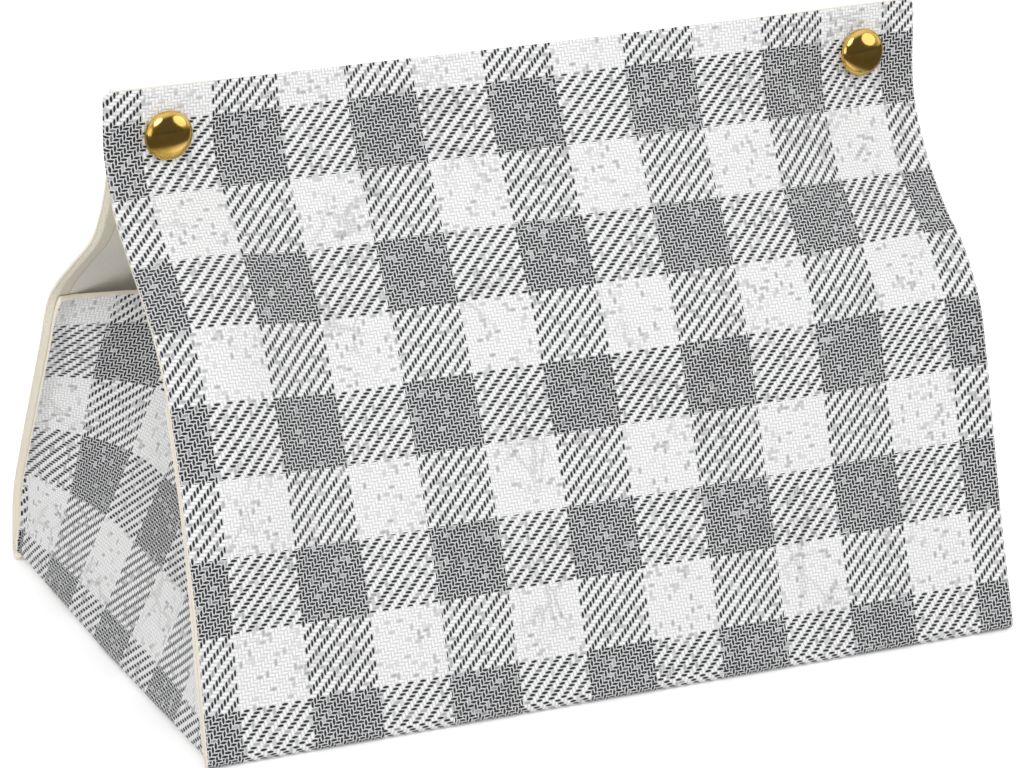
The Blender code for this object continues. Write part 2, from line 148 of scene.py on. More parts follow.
BACK_SECTION_SHARES = (
    ((0.006, 0.085), (0.032, 0.150), (0.068, 0.228), (0.104, 0.305), (0.138, 0.377),
     (0.168, 0.406), (0.212, 0.441), (0.262, 0.490), (0.302, 0.565), (0.3115, 0.660)),
    ((0.047, 0.150), (0.079, 0.230), (0.108, 0.307), (0.139, 0.388),
     (0.198, 0.443), (0.262, 0.500), (0.299, 0.570), (0.306, 0.660)),
    ((0.052, 0.150), (0.080, 0.230), (0.107, 0.307), (0.137, 0.388),
     (0.176, 0.447), (0.221, 0.510), (0.262, 0.580), (0.287, 0.657)),
    ((0.050, 0.150), (0.077, 0.230), (0.103, 0.307), (0.133, 0.388),
     (0.163, 0.452), (0.198, 0.520), (0.235, 0.588), (0.264, 0.653)),
    ((0.052, 0.150), (0.080, 0.230), (0.107, 0.307), (0.138, 0.388),
     (0.180, 0.447), (0.226, 0.510), (0.268, 0.580), (0.297, 0.656)),
    ((0.053, 0.150), (0.083, 0.230), (0.109, 0.307), (0.139, 0.388),
     (0.198, 0.443), (0.262, 0.500), (0.299, 0.570), (0.306, 0.660)),
    ((0.053, 0.150), (0.083, 0.230), (0.108, 0.307), (0.138, 0.386),
     (0.205, 0.440), (0.270, 0.495), (0.304, 0.565), (0.3115, 0.660)),
)

# End gussets: each folds up from the base's end and inwards between the panels
END_REACH = HALF_WIDTH - SEAT
GUSSET_TURN = 0.0026
GUSSET_TURN_STEPS = 8
GUSSET_ROW_PITCH = 0.002
GUSSET_CROWN = 0.0022
GUSSET_TRIM = 0.0020
FLANGE_OUT = 0.0006
CREASE_RUN = 0.0105
CREASE_FOOT_RUN = 0.036
CREASE_ROUND_SHARE = 0.6
FLANGE_FOOT_SHARE = 0.12
FLANGE_ENTRY_SHARE = 0.16
FLANGE_TRIES = 4
FLANGE_POINTS = 4
INWARD_POINTS = 8
CREASE_POINTS = 14
MIDDLE_POINTS = 14
FLANGE_REACH = FLANGE_OUT - FLANGE_LOW.x
GUSSET_TOP = FLANGE_HIGH.z - GUSSET_TRIM
BASE_STEP = 0.0016

# The cloth's check and weave
STRIPE_WIDTH = 0.020
THREAD_PITCH = 0.00090
TWILL_REPEAT = 4.0
WANDER_SCALE = 260.0
THREAD_WANDER = 0.0003
NOISE_MIDDLE = (0.5, 0.5, 0.5)
FLOAT_TAPER_SHARE = 0.45
FLOAT_SOFT_SHARE = 0.35
FLOAT_CROWN_DROP = 0.5
LIGHT_THREAD = (0.90, 0.90, 0.89, 1)
LIGHT_FLECK = (0.44, 0.445, 0.45, 1)
DARK_THREAD = (0.022, 0.025, 0.032, 1)
LIGHT_FLECK_FROM = 0.80
DARK_FLECK_FROM = 0.90
THREAD_RIM = 0.43
THREAD_CREST = 0.61
THREAD_GAP = 0.50
# Painted shade between the thread floats
GAP_SHADE = 0.72
# Painted shade along the handling wrinkles
WRINKLE_SHADE = 0.84
SKIN_ROUGHNESS = (0.40, 0.58)
SKIN_GLOSS = 0.35
COATING = 0.06
COATING_ROUGHNESS = 0.35

# How strong each relief is, and how deep
THREAD_RELIEF = (0.65, 0.00025)
SKIN_WRINKLE_RELIEF = (0.45, 0.0007)
LINING_WRINKLE_RELIEF = (0.25, 0.0005)
LINING_GRAIN_RELIEF = (0.40, 0.00018)
PRESSED_RELIEF = (0.40, 0.00025)
EDGE_GRAIN_RELIEF = (0.50, 0.0002)
RUB_RELIEF = (0.06, 0.00005)

# Handling wrinkles
SKIN_WRINKLE_SCALE = 95.0
LINING_WRINKLE_SCALE = 70.0
WRINKLE_BEND_SCALE = 60.0
WRINKLE_BEND = 0.012
WRINKLE_LINE_WIDTH = 0.09
WRINKLE_PATCH_SCALE = 28.0
WRINKLE_PATCH_LIMITS = (0.50, 0.68)

# The lining, its pressed border line and the raw edges
LINING_GRAIN_SCALE = 850.0
EDGE_GRAIN_SCALE = 1400.0
GRAIN_SOFTNESS = 0.6
GRAIN_FINE_SHARE = 0.6
TONE_FINE_SHARE = 0.35
LINING_TONE_LIMITS = (0.35, 0.95)
GRAIN_ROUGH_LIMITS = (0.2, 1.0)
LINING_ROUGHNESS = (0.62, 0.80)
EDGE_ROUGHNESS = (0.70, 0.90)
LINING_GLOSS = 0.30
EDGE_GLOSS = 0.25
BROAD_TONE_SCALE = 22.0
FINE_TONE_SCALE = 1600.0
BORDER_WIDTH = 0.0050
PRESSED_LINE_WIDTH = 0.0005
PRESSED_LINE_SHARE = 0.6
HATCH_PITCH = 0.0010
HATCH_FROM = -0.2
LINING_LIGHT = (0.87, 0.84, 0.755, 1)
LINING_SHADE = (0.80, 0.765, 0.68, 1)
LINING_BORDER = (0.84, 0.79, 0.67, 1)
HATCH_COLOUR = (0.78, 0.72, 0.58, 1)
PRESSED_LINE_COLOUR = (0.62, 0.50, 0.34, 1)
EDGE_LIGHT = (0.93, 0.88, 0.78, 1)
EDGE_SHADE = (0.80, 0.70, 0.54, 1)

# The snaps: (radius, height) of a cap's dome and a rivet's
CAP_DOME = (0.0067, 0.0041)
RIVET_DOME = (0.0048, 0.0013)
FOOT_SHARE = 0.85
TURNED_STEPS = 96
RIM_HEIGHT_SHARE = 0.30
RIM_STEPS = 6
DOME_STEPS = 16
RUB_SCALE = 520.0
RUB_STRETCH = (1.0, 1.0, 6.0)
RUB_DETAIL = 4.0
RUB_CONTRAST = 0.6
SMUDGE_SCALE = 240.0
SMUDGE_TONE_LIMITS = (0.35, 0.70)
SMUDGE_ROUGH_LIMITS = (0.30, 0.75)
GOLD_ROUGHNESS = (0.10, 0.20)
BRASS_ROUGHNESS = (0.25, 0.42)
GOLD_LIGHT = (0.82, 0.54, 0.16, 1)
GOLD_SHADE = (0.70, 0.44, 0.09, 1)
BRASS_LIGHT = (0.74, 0.58, 0.30, 1)
BRASS_SHADE = (0.60, 0.45, 0.22, 1)

# The floor and the studio
FLOOR_SIZE = 12.0
FLOOR_CLEARANCE = 0.0002
FLOOR_GLOW = 0.35
FLOOR_NEAR = 0.12
FLOOR_FAR = 0.26
FLOOR_COLOUR = (0.86, 0.86, 0.86, 1)
FLOOR_ROUGHNESS = 0.9
WHITE = (1.0, 1.0, 1.0, 1)
SOFT_LIGHT = (0.98, 0.98, 1.0, 1)
SOFT_LIGHT_STRENGTH = 0.62
ROOM_DARK = (0.10, 0.095, 0.085, 1)
ROOM_NEARNESS = (-0.70, 0.05)
ROOM_HEIGHT = (0.62, 0.95)

# Disk lamps: (name, place, size, power)
LAMPS = (
    ("Key", (-0.9, -1.3, 1.5), 1.2, 15),
    ("Fill", (1.3, -1.1, 0.9), 1.4, 7),
    ("Rim", (0.3, 1.4, 1.3), 1.2, 8),
    ("Side", (-1.4, -0.75, 0.25), 1.0, 3),
)

# The camera
VIEW_AZIMUTH = radians(-25.35)
VIEW_ELEVATION = radians(20.74)
VIEW_ROLL = radians(1.44)
VIEW_DISTANCE = 1.3643
VIEW_TARGET = (0, -0.0039, 0.0792)
LENS = 174.27
SENSOR_WIDTH = 36
SHIFT_SHARES = (-0.0067, -0.0483)


def slopes(knots, values):
    """Slopes of a smooth curve through values that stand at uneven knots."""
    gaps = np.diff(knots).reshape((-1,) + (1,) * (values.ndim - 1))
    rates = np.diff(values, axis=0) / gaps
    inner = (rates[:-1] * gaps[1:] + rates[1:] * gaps[:-1]) / (gaps[1:] + gaps[:-1])
    return np.concatenate((rates[:1], inner, rates[-1:]))


def curve_at(knots, values, places):
    """A smooth curve through the values, read at the given places."""
    knots = np.asarray(knots, float)
    values = np.asarray(values, float)
    tangents = slopes(knots, values)
    first = np.clip(np.searchsorted(knots, places, side="right") - 1, 0, len(knots) - 2)
    shape = (-1,) + (1,) * (values.ndim - 1)
    gap = (knots[first + 1] - knots[first]).reshape(shape)
    share = (places - knots[first]).reshape(shape) / gap
    rest = 1 - share
    start = values[first] * (1 + 2 * share) * rest**2 + tangents[first] * gap * share * rest**2
    end = values[first + 1] * (3 - 2 * share) * share**2
    return start + end - tangents[first + 1] * gap * share**2 * rest


def run_lengths(points):
    """How far along a polyline each of its points lies."""
    steps = np.linalg.norm(np.diff(points, axis=0), axis=-1)
    return np.concatenate(([0], np.cumsum(steps)))


def evenly_spaced(points, count):
    """Points at even distances on a smooth curve through the given ones."""
    points = np.asarray(points, float)
    knots = run_lengths(points)
    fine = curve_at(knots, points, np.linspace(0, knots[-1], TABLE_ROWS))
    runs = run_lengths(fine)
    places = np.linspace(0, runs[-1], count)
    return np.stack([np.interp(places, runs, fine[:, axis]) for axis in range(2)], axis=-1)


def start_lean(section):
    """The lean at which a panel leaves the base fold, from its section's first points."""
    inward, height = section[0]
    return atan2(inward * WIDTH, height * WIDTH - FOLD_RADIUS)


def fold_end(lean):
    """Where the base fold ends for a panel of that lean."""
    return FOLD_RADIUS * (1 - cos(lean)), FOLD_RADIUS * (1 + sin(lean))


def section_table(stations, sections):
    """A panel's sections at even steps across its width: (inward, height) points."""
    rows = []
    for section in sections:
        points = [fold_end(start_lean(section))]
        points += [(inward * WIDTH, height * WIDTH) for inward, height in section]
        rows.append(evenly_spaced(points, TABLE_ROWS))
    places = np.linspace(-1, 1, TABLE_COLUMNS)
    return curve_at(stations, np.array(rows), places)


PANEL_TABLES = {
    FRONT: section_table(FRONT_STATION_SHARES, FRONT_SECTION_SHARES),
    BACK: section_table(BACK_STATION_SHARES, BACK_SECTION_SHARES),
}
PANEL_LENGTHS = {FRONT: SHEET_LENGTH, BACK: SHEET_LENGTH - BACK_DROP}


def panel_points(side, across, along):
    """Points of a panel's outer face, at distances across it and along it from the fold."""
    table = PANEL_TABLES[side]
    column = np.clip((across / HALF_WIDTH + 1) / 2, 0, 1) * (TABLE_COLUMNS - 1)
    row = np.clip(along / PANEL_LENGTHS[side], 0, 1) * (TABLE_ROWS - 1)
    left = np.minimum(column.astype(int), TABLE_COLUMNS - 2)
    low = np.minimum(row.astype(int), TABLE_ROWS - 2)
    right_share = (column - left)[..., None]
    up_share = (row - low)[..., None]
    below = table[left, low] * (1 - right_share) + table[left + 1, low] * right_share
    above = table[left, low + 1] * (1 - right_share) + table[left + 1, low + 1] * right_share
    inward, height = np.moveaxis(below * (1 - up_share) + above * up_share, -1, 0)
    return np.stack((across, side * (HALF_DEPTH - inward), height), axis=-1)


def grid_normals(grid):
    """Unit normals of a grid of points, on the side that its columns and rows turn to."""
    columns = np.gradient(grid, axis=1)
    rows = np.gradient(grid, axis=0)
    normals = np.cross(columns, rows)
    return normals / np.linalg.norm(normals, axis=-1, keepdims=True)


def panel_inner(side, across, along):
    """Points of a panel's lining face, and the panel's outward normals there."""
    step = COLUMN_PITCH / 2
    here = panel_points(side, across, along)
    beside = panel_points(side, np.clip(across + step, -HALF_WIDTH, HALF_WIDTH), along)
    beside -= panel_points(side, np.clip(across - step, -HALF_WIDTH, HALF_WIDTH), along)
    above = panel_points(side, across, along + step)
    above -= panel_points(side, across, np.maximum(along - step, 0))
    normal = -side * np.cross(beside, above)
    normal /= np.linalg.norm(normal, axis=-1, keepdims=True)
    return here - normal * SHEET, normal


def run_at_height(side, across, height):
    """How far along a panel its outer face reaches a height, at one place across."""
    runs = np.linspace(0, PANEL_LENGTHS[side], TABLE_ROWS)
    heights = panel_points(side, np.full_like(runs, across), runs)[:, 2]
    return np.interp(height, heights, runs)


def ease(value, low, high):
    """0 below low, 1 above high, smooth between them."""
    share = np.clip((value - low) / (high - low), 0, 1)
    return share * share * (3 - 2 * share)


def quads(rows, columns, start=0):
    """Corner numbers of a grid's faces."""
    index = np.arange(rows * columns).reshape(rows, columns) + start
    corners = (index[:-1, :-1], index[:-1, 1:], index[1:, 1:], index[1:, :-1])
    return np.stack(corners, axis=-1).reshape(-1, 4)


def rim_loop(rows, columns):
    """Numbers of the grid's edge points, in order round it."""
    index = np.arange(rows * columns).reshape(rows, columns)
    return np.concatenate((index[0, :-1], index[:-1, -1], index[-1, :0:-1], index[:0:-1, 0]))


def thinned(distance):
    """How much of its thickness the sheet keeps near a skived edge."""
    return SKIVED_SHARE + (1 - SKIVED_SHARE) * ease(distance, 0, SKIVED_WIDTH)


def add_object(name, data):
    """A new object in the scene with that mesh, lamp or camera."""
    made = bpy.data.objects.new(name, data)
    bpy.context.scene.collection.objects.link(made)
    return made


def layer_piece(name, grid, cloth, depths, materials, thickness=1):
    """One layer of the sheet as a closed piece, between two depths under the grid.

    Thickness is the share of the full depths that it keeps, everywhere or at each point.
    """
    rows, columns = grid.shape[:2]
    count = rows * columns
    normals = grid_normals(grid) * thickness
    outer = (grid - normals * depths[0]).reshape(-1, 3)
    inner = (grid - normals * depths[1]).reshape(-1, 3)
    outer_faces = quads(rows, columns)
    inner_faces = quads(rows, columns, count)[:, ::-1]
    loop = rim_loop(rows, columns)
    following = np.roll(loop, -1)
    rim_faces = np.stack((loop, loop + count, following + count, following), axis=-1)
    faces = np.concatenate((outer_faces, rim_faces, inner_faces))
    mesh = bpy.data.meshes.new(name)
    mesh.from_pydata(np.concatenate((outer, inner)).tolist(), [], faces.tolist())
    for material in materials:
        mesh.materials.append(material)
    slots = [0] * len(outer_faces) + [1] * len(rim_faces) + [2] * len(inner_faces)
    mesh.polygons.foreach_set("material_index", slots)
    mesh.shade_smooth()
    mesh.set_sharp_from_angle(angle=SHARP_ANGLE)
    attribute = mesh.attributes.new("cloth", "FLOAT_VECTOR", "POINT")
    attribute.data.foreach_set("vector", np.tile(cloth.reshape(-1, 3), (2, 1)).ravel())
    return add_object(name, mesh)


def sheet_layers(skin, lining, edge):
    """The sheet's layers: (name, depths, materials of the outer face, rim and inner face)."""
    return (
        ("skin", (0, SKIN), (skin, edge, edge)),
        ("lining", (SKIN, SHEET), (edge, edge, lining)),
    )


def edge_distance(across, along, length):
    """How far a point of a panel lies from its nearest free edge."""
    return np.minimum(HALF_WIDTH - np.abs(across), length - along)


# Shader helpers


def socket_value(socket, value, links):
    """Links a socket to another one, or sets its value."""
    if isinstance(value, bpy.types.NodeSocket):
        links.new(value, socket)
    elif isinstance(value, bpy.types.Node):
        links.new(value.outputs[0], socket)
    elif value is not None:
        socket.default_value = value


def add_node(tree, kind, *inputs, **settings):
    """A shader node with its settings and its inputs, in order."""
    node = tree.nodes.new("ShaderNode" + kind)
    for key, value in settings.items():
        setattr(node, key, value)
    for socket, value in zip(node.inputs, inputs):
        socket_value(socket, value, tree.links)
    return node


def set_inputs(tree, node, **values):
    """Sets inputs by name; an underscore stands for a space."""
    for key, value in values.items():
        socket_value(node.inputs[key.replace("_", " ")], value, tree.links)
    return node


def math_node(tree, operation, *inputs):
    return add_node(tree, "Math", *inputs, operation=operation).outputs[0]


def vector_node(tree, operation, *inputs):
    return add_node(tree, "VectorMath", *inputs, operation=operation).outputs[0]


def map_range(tree, value, low, high, new_low=0.0, new_high=1.0):
    """A value eased from one range to another."""
    node = add_node(tree, "MapRange", interpolation_type="SMOOTHSTEP")
    for socket, given in zip(node.inputs[:5], (value, low, high, new_low, new_high)):
        socket_value(socket, given, tree.links)
    return node.outputs[0]


def mix_float(tree, share, first, second):
    node = add_node(tree, "Mix", data_type="FLOAT")
    socket_value(node.inputs[0], share, tree.links)
    socket_value(node.inputs[2], first, tree.links)
    socket_value(node.inputs[3], second, tree.links)
    return node.outputs[0]


def mix_colour(tree, share, first, second, blend_type="MIX"):
    node = add_node(tree, "Mix", data_type="RGBA", blend_type=blend_type)
    socket_value(node.inputs["Factor"], share, tree.links)
    socket_value(node.inputs[6], first, tree.links)
    socket_value(node.inputs[7], second, tree.links)
    return node.outputs[2]


def noise_texture(tree, vector, scale, detail=2.0, roughness=0.5, output="Fac"):
    node = add_node(tree, "TexNoise")
    set_inputs(tree, node, Vector=vector, Scale=scale, Detail=detail, Roughness=roughness)
    return node.outputs[output]


def scaled(tree, vector, factor):
    """The vector times a plain number."""
    node = add_node(tree, "VectorMath", vector, operation="SCALE")
    node.inputs["Scale"].default_value = factor
    return node.outputs[0]


def new_group(name, inputs, outputs):
    """An empty shader group. Inputs are (name, kind, default), outputs (name, kind)."""
    group = bpy.data.node_groups.new(name, "ShaderNodeTree")
    for label, kind, default in inputs:
        socket = group.interface.new_socket(label, in_out="INPUT", socket_type="NodeSocket" + kind)
        if default is not None:
            socket.default_value = default
    for label, kind in outputs:
        group.interface.new_socket(label, in_out="OUTPUT", socket_type="NodeSocket" + kind)
    given = group.nodes.new("NodeGroupInput")
    result = group.nodes.new("NodeGroupOutput")
    return group, given.outputs, result.inputs


def use_group(tree, group, **values):
    node = tree.nodes.new("ShaderNodeGroup")
    node.node_tree = group
    return set_inputs(tree, node, **values)


def close_group(group, results, **values):
    for label, value in values.items():
        group.links.new(value, results[label.replace("_", " ")])
    return group


def float_fleck(group, thread, diagonal, layer):
    """A random value for each stretch of thread that lies on top."""
    number = math_node(group, "FLOOR", math_node(group, "DIVIDE", diagonal, TWILL_REPEAT))
    cell = add_node(group, "CombineXYZ", thread, number, layer)
    return add_node(group, "TexWhiteNoise", cell, noise_dimensions="3D").outputs["Value"]


def weave_group():
    """Two-and-two twill: which thread is on top, how high it stands, and its flecks."""
    group, given, results = new_group(
        "Twill weave",
        (("Cloth", "Vector", None), ("Pitch", "Float", THREAD_PITCH)),
        (("Weft on top", "Float"), ("Height", "Float"), ("Fleck", "Float")),
    )
    wander = noise_texture(group, given["Cloth"], WANDER_SCALE, detail=1.0, output="Color")
    wander = vector_node(group, "SUBTRACT", wander, NOISE_MIDDLE)
    place = vector_node(group, "ADD", given["Cloth"], scaled(group, wander, THREAD_WANDER))
    split = add_node(group, "SeparateXYZ", place)
    across = math_node(group, "DIVIDE", split.outputs[0], given["Pitch"])
    along = math_node(group, "DIVIDE", split.outputs[1], given["Pitch"])
    warp, weft = (math_node(group, "FLOOR", count) for count in (across, along))
    warp_share, weft_share = (math_node(group, "FRACT", count) for count in (across, along))
    diagonal = math_node(group, "SUBTRACT", warp, weft)
    turn = math_node(group, "FLOORED_MODULO", diagonal, TWILL_REPEAT)
    on_top = math_node(group, "LESS_THAN", turn, TWILL_REPEAT / 2)
    warp_run = math_node(group, "SUBTRACT", weft_share, turn)
    warp_run = math_node(group, "ADD", warp_run, TWILL_REPEAT / 2)
    weft_run = math_node(group, "SUBTRACT", math_node(group, "ADD", warp_share, turn), 1.0)
    run = mix_float(group, on_top, warp_run, weft_run)
    side = mix_float(group, on_top, warp_share, weft_share)
    side = math_node(group, "MULTIPLY_ADD", side, 2.0, -1.0)
    taper = math_node(group, "MULTIPLY", run, run)
    half_width = math_node(group, "MULTIPLY_ADD", taper, -FLOAT_TAPER_SHARE, 1.0)
    room = math_node(group, "SUBTRACT", half_width, math_node(group, "ABSOLUTE", side))
    covered = map_range(group, room, 0.0, FLOAT_SOFT_SHARE)
    sides = math_node(group, "MULTIPLY", side, side)
    crown = math_node(group, "MULTIPLY_ADD", sides, -FLOAT_CROWN_DROP, 1.0)
    dip = math_node(group, "MULTIPLY_ADD", taper, -FLOAT_CROWN_DROP, 1.0)
    height = math_node(group, "MULTIPLY", covered, math_node(group, "MULTIPLY", crown, dip))
    warp_fleck = float_fleck(group, warp, diagonal, 0.0)
    weft_fleck = float_fleck(group, weft, diagonal, 1.0)
    fleck = mix_float(group, on_top, warp_fleck, weft_fleck)
    return close_group(group, results, Weft_on_top=on_top, Height=height, Fleck=fleck)


def grain_group():
    """Fine pebbled grain of a coated lining, also used on raw edges."""
    group, given, results = new_group(
        "Fine grain",
        (("Cloth", "Vector", None), ("Scale", "Float", LINING_GRAIN_SCALE)),
        (("Height", "Float"), ("Tone", "Float")),
    )
    cells = add_node(group, "TexVoronoi", feature="SMOOTH_F1")
    set_inputs(group, cells, Vector=given["Cloth"], Scale=given["Scale"])
    set_inputs(group, cells, Smoothness=GRAIN_SOFTNESS)
    broad = noise_texture(group, given["Cloth"], BROAD_TONE_SCALE, detail=3.0)
    fine = noise_texture(group, given["Cloth"], FINE_TONE_SCALE)
    height = math_node(group, "MULTIPLY_ADD", fine, GRAIN_FINE_SHARE, cells.outputs["Distance"])
    tone = math_node(group, "MULTIPLY_ADD", fine, TONE_FINE_SHARE, broad)
    return close_group(group, results, Height=height, Tone=tone)


def wrinkle_group():
    """Short fine creases, here and there, as soft coated cloth gets where it is handled."""
    group, given, results = new_group(
        "Handling wrinkles",
        (("Cloth", "Vector", None), ("Scale", "Float", SKIN_WRINKLE_SCALE)),
        (("Height", "Float"),),
    )
    bend = noise_texture(group, given["Cloth"], WRINKLE_BEND_SCALE, output="Color")
    place = vector_node(group, "ADD", given["Cloth"], scaled(group, bend, WRINKLE_BEND))
    lines = add_node(group, "TexVoronoi", feature="DISTANCE_TO_EDGE")
    set_inputs(group, lines, Vector=place, Scale=given["Scale"])
    crease = map_range(group, lines.outputs["Distance"], 0.0, WRINKLE_LINE_WIDTH, 1.0, 0.0)
    patch = noise_texture(group, given["Cloth"], WRINKLE_PATCH_SCALE)
    patch = map_range(group, patch, *WRINKLE_PATCH_LIMITS)
    height = math_node(group, "MULTIPLY", crease, patch)
    return close_group(group, results, Height=height)


def stripe_mask(tree, value):
    """1 inside every second stripe, with one stripe centred on the middle."""
    shifted = math_node(tree, "DIVIDE", value, STRIPE_WIDTH)
    shifted = math_node(tree, "ADD", shifted, 0.5)
    number = math_node(tree, "FLOOR", shifted)
    odd = math_node(tree, "FLOORED_MODULO", number, 2.0)
    return math_node(tree, "SUBTRACT", 1.0, odd)


def new_material(name):
    material = bpy.data.materials.new(name)
    material.use_nodes = True
    tree = material.node_tree
    return material, tree, tree.nodes["Principled BSDF"]


def cloth_place(tree):
    """A point's place on the flat sheet, in metres."""
    return add_node(tree, "Attribute", attribute_name="cloth").outputs["Vector"]


def bump(tree, height, relief, normal=None):
    """A normal from a height; relief is how strong it is, and how deep."""
    node = add_node(tree, "Bump")
    strength, distance = relief
    set_inputs(tree, node, Height=height, Strength=strength, Distance=distance, Normal=normal)
    return node.outputs[0]


def gingham_material(weave, wrinkles):
    """Woven check under a matt clear coating: white, mixed grey and charcoal, with painted shade
    in gaps and creases.
    """
    material, tree, shader = new_material("Gingham skin")
    place = cloth_place(tree)
    threads = use_group(tree, weave, Cloth=place, Pitch=THREAD_PITCH)
    split = add_node(tree, "SeparateXYZ", place)
    warp_dark = stripe_mask(tree, split.outputs[0])
    weft_dark = stripe_mask(tree, split.outputs[1])
    dark = mix_float(tree, threads.outputs["Weft on top"], warp_dark, weft_dark)
    fleck = threads.outputs["Fleck"]
    light_fleck = map_range(tree, fleck, LIGHT_FLECK_FROM, 1.0)
    dark_fleck = map_range(tree, fleck, DARK_FLECK_FROM, 1.0)
    light_thread = mix_colour(tree, light_fleck, LIGHT_THREAD, LIGHT_FLECK)
    dark_thread = mix_colour(tree, dark_fleck, DARK_THREAD, LIGHT_FLECK)
    colour = mix_colour(tree, dark, light_thread, dark_thread)
    crest = map_range(tree, threads.outputs["Height"], THREAD_RIM, THREAD_CREST)
    colour = mix_colour(tree, crest, LIGHT_THREAD, colour)
    creases = use_group(tree, wrinkles, Cloth=place, Scale=SKIN_WRINKLE_SCALE)
    # Painted shade: the colour is darkened in the gaps between the thread floats
    gap = map_range(tree, threads.outputs["Height"], 0.0, THREAD_GAP, GAP_SHADE, 1.0)
    # Painted shade: the colour is darkened along the wrinkle creases
    wear_and_crease_shade = map_range(tree, creases.outputs["Height"], 0.0, 1.0, 1.0, WRINKLE_SHADE)
    shade = math_node(tree, "MULTIPLY", gap, wear_and_crease_shade)
    shade = add_node(tree, "CombineColor", shade, shade, shade)
    colour = mix_colour(tree, 1.0, colour, shade, "MULTIPLY")
    normal = bump(tree, creases.outputs["Height"], SKIN_WRINKLE_RELIEF)
    normal = bump(tree, threads.outputs["Height"], THREAD_RELIEF, normal)
    rough = map_range(tree, fleck, 0.0, 1.0, *SKIN_ROUGHNESS)
    set_inputs(tree, shader, Base_Color=colour, Roughness=rough, Normal=normal)
    set_inputs(tree, shader, Specular_IOR_Level=SKIN_GLOSS)
    set_inputs(tree, shader, Coat_Weight=COATING, Coat_Roughness=COATING_ROUGHNESS)
    return material


def lining_material(grain, wrinkles):
    """Cream lining with a fine grain, and a hatched border inside a pressed line."""
    material, tree, shader = new_material("Cream lining")
    place = cloth_place(tree)
    grained = use_group(tree, grain, Cloth=place, Scale=LINING_GRAIN_SCALE)
    creases = use_group(tree, wrinkles, Cloth=place, Scale=LINING_WRINKLE_SCALE)
    split = add_node(tree, "SeparateXYZ", place)
    edge = split.outputs[2]
    off_line = math_node(tree, "ABSOLUTE", math_node(tree, "SUBTRACT", edge, BORDER_WIDTH))
    line = map_range(tree, off_line, 0.0, PRESSED_LINE_WIDTH, 1.0, 0.0)
    border = map_range(tree, edge, BORDER_WIDTH - PRESSED_LINE_WIDTH, BORDER_WIDTH, 1.0, 0.0)
    slant = math_node(tree, "ADD", split.outputs[0], split.outputs[1])
    turn = math_node(tree, "MULTIPLY", slant, 2 * pi / HATCH_PITCH)
    hatch = map_range(tree, math_node(tree, "SINE", turn), HATCH_FROM, 1.0)
    hatch = math_node(tree, "MULTIPLY", hatch, border)
    tone = map_range(tree, grained.outputs["Tone"], *LINING_TONE_LIMITS)
    colour = mix_colour(tree, tone, LINING_SHADE, LINING_LIGHT)
    colour = mix_colour(tree, border, colour, LINING_BORDER)
    colour = mix_colour(tree, hatch, colour, HATCH_COLOUR)
    drawn = math_node(tree, "MULTIPLY", line, PRESSED_LINE_SHARE)
    colour = mix_colour(tree, drawn, colour, PRESSED_LINE_COLOUR)
    normal = bump(tree, creases.outputs["Height"], LINING_WRINKLE_RELIEF)
    normal = bump(tree, grained.outputs["Height"], LINING_GRAIN_RELIEF, normal)
    pressed = math_node(tree, "MAXIMUM", line, hatch)
    normal = bump(tree, math_node(tree, "SUBTRACT", 1.0, pressed), PRESSED_RELIEF, normal)
    rough = map_range(tree, grained.outputs["Tone"], *GRAIN_ROUGH_LIMITS, *LINING_ROUGHNESS)
    set_inputs(tree, shader, Base_Color=colour, Roughness=rough, Normal=normal)
    set_inputs(tree, shader, Specular_IOR_Level=LINING_GLOSS)
    return material


def edge_material(grain):
    """The sheet's raw cut edge: pressed fibres under a thin edge paint."""
    material, tree, shader = new_material("Raw cream edge")
    place = cloth_place(tree)
    grained = use_group(tree, grain, Cloth=place, Scale=EDGE_GRAIN_SCALE)
    colour = mix_colour(tree, grained.outputs["Tone"], EDGE_SHADE, EDGE_LIGHT)
    normal = bump(tree, grained.outputs["Height"], EDGE_GRAIN_RELIEF)
    rough = map_range(tree, grained.outputs["Tone"], *GRAIN_ROUGH_LIMITS, *EDGE_ROUGHNESS)
    set_inputs(tree, shader, Base_Color=colour, Roughness=rough, Normal=normal)
    set_inputs(tree, shader, Specular_IOR_Level=EDGE_GLOSS)
    return material


def wear_group():
    """Faint rubs and smudges on polished metal."""
    group, given, results = new_group(
        "Metal rubs",
        (("Place", "Vector", None), ("Scale", "Float", RUB_SCALE)),
        (("Height", "Float"), ("Smudge", "Float")),
    )
    stretched = vector_node(group, "MULTIPLY", given["Place"], RUB_STRETCH)
    rubs = noise_texture(group, stretched, given["Scale"], RUB_DETAIL, RUB_CONTRAST)
    smudge = noise_texture(group, given["Place"], SMUDGE_SCALE)
    return close_group(group, results, Height=rubs, Smudge=smudge)


def metal_material(name, wear, light, shade, roughness):
    """Polished metal whose tone and gloss change a little with its rubs and smudges."""
    material, tree, shader = new_material(name)
    place = add_node(tree, "TexCoord").outputs["Object"]
    wear_and_crease_shade = use_group(tree, wear, Place=place, Scale=RUB_SCALE)
    smudge = wear_and_crease_shade.outputs["Smudge"]
    colour = mix_colour(tree, map_range(tree, smudge, *SMUDGE_TONE_LIMITS), light, shade)
    rough = map_range(tree, smudge, *SMUDGE_ROUGH_LIMITS, *roughness)
    normal = bump(tree, wear_and_crease_shade.outputs["Height"], RUB_RELIEF)
    set_inputs(tree, shader, Base_Color=colour, Roughness=rough, Normal=normal)
    shader.inputs["Metallic"].default_value = 1.0
    return material


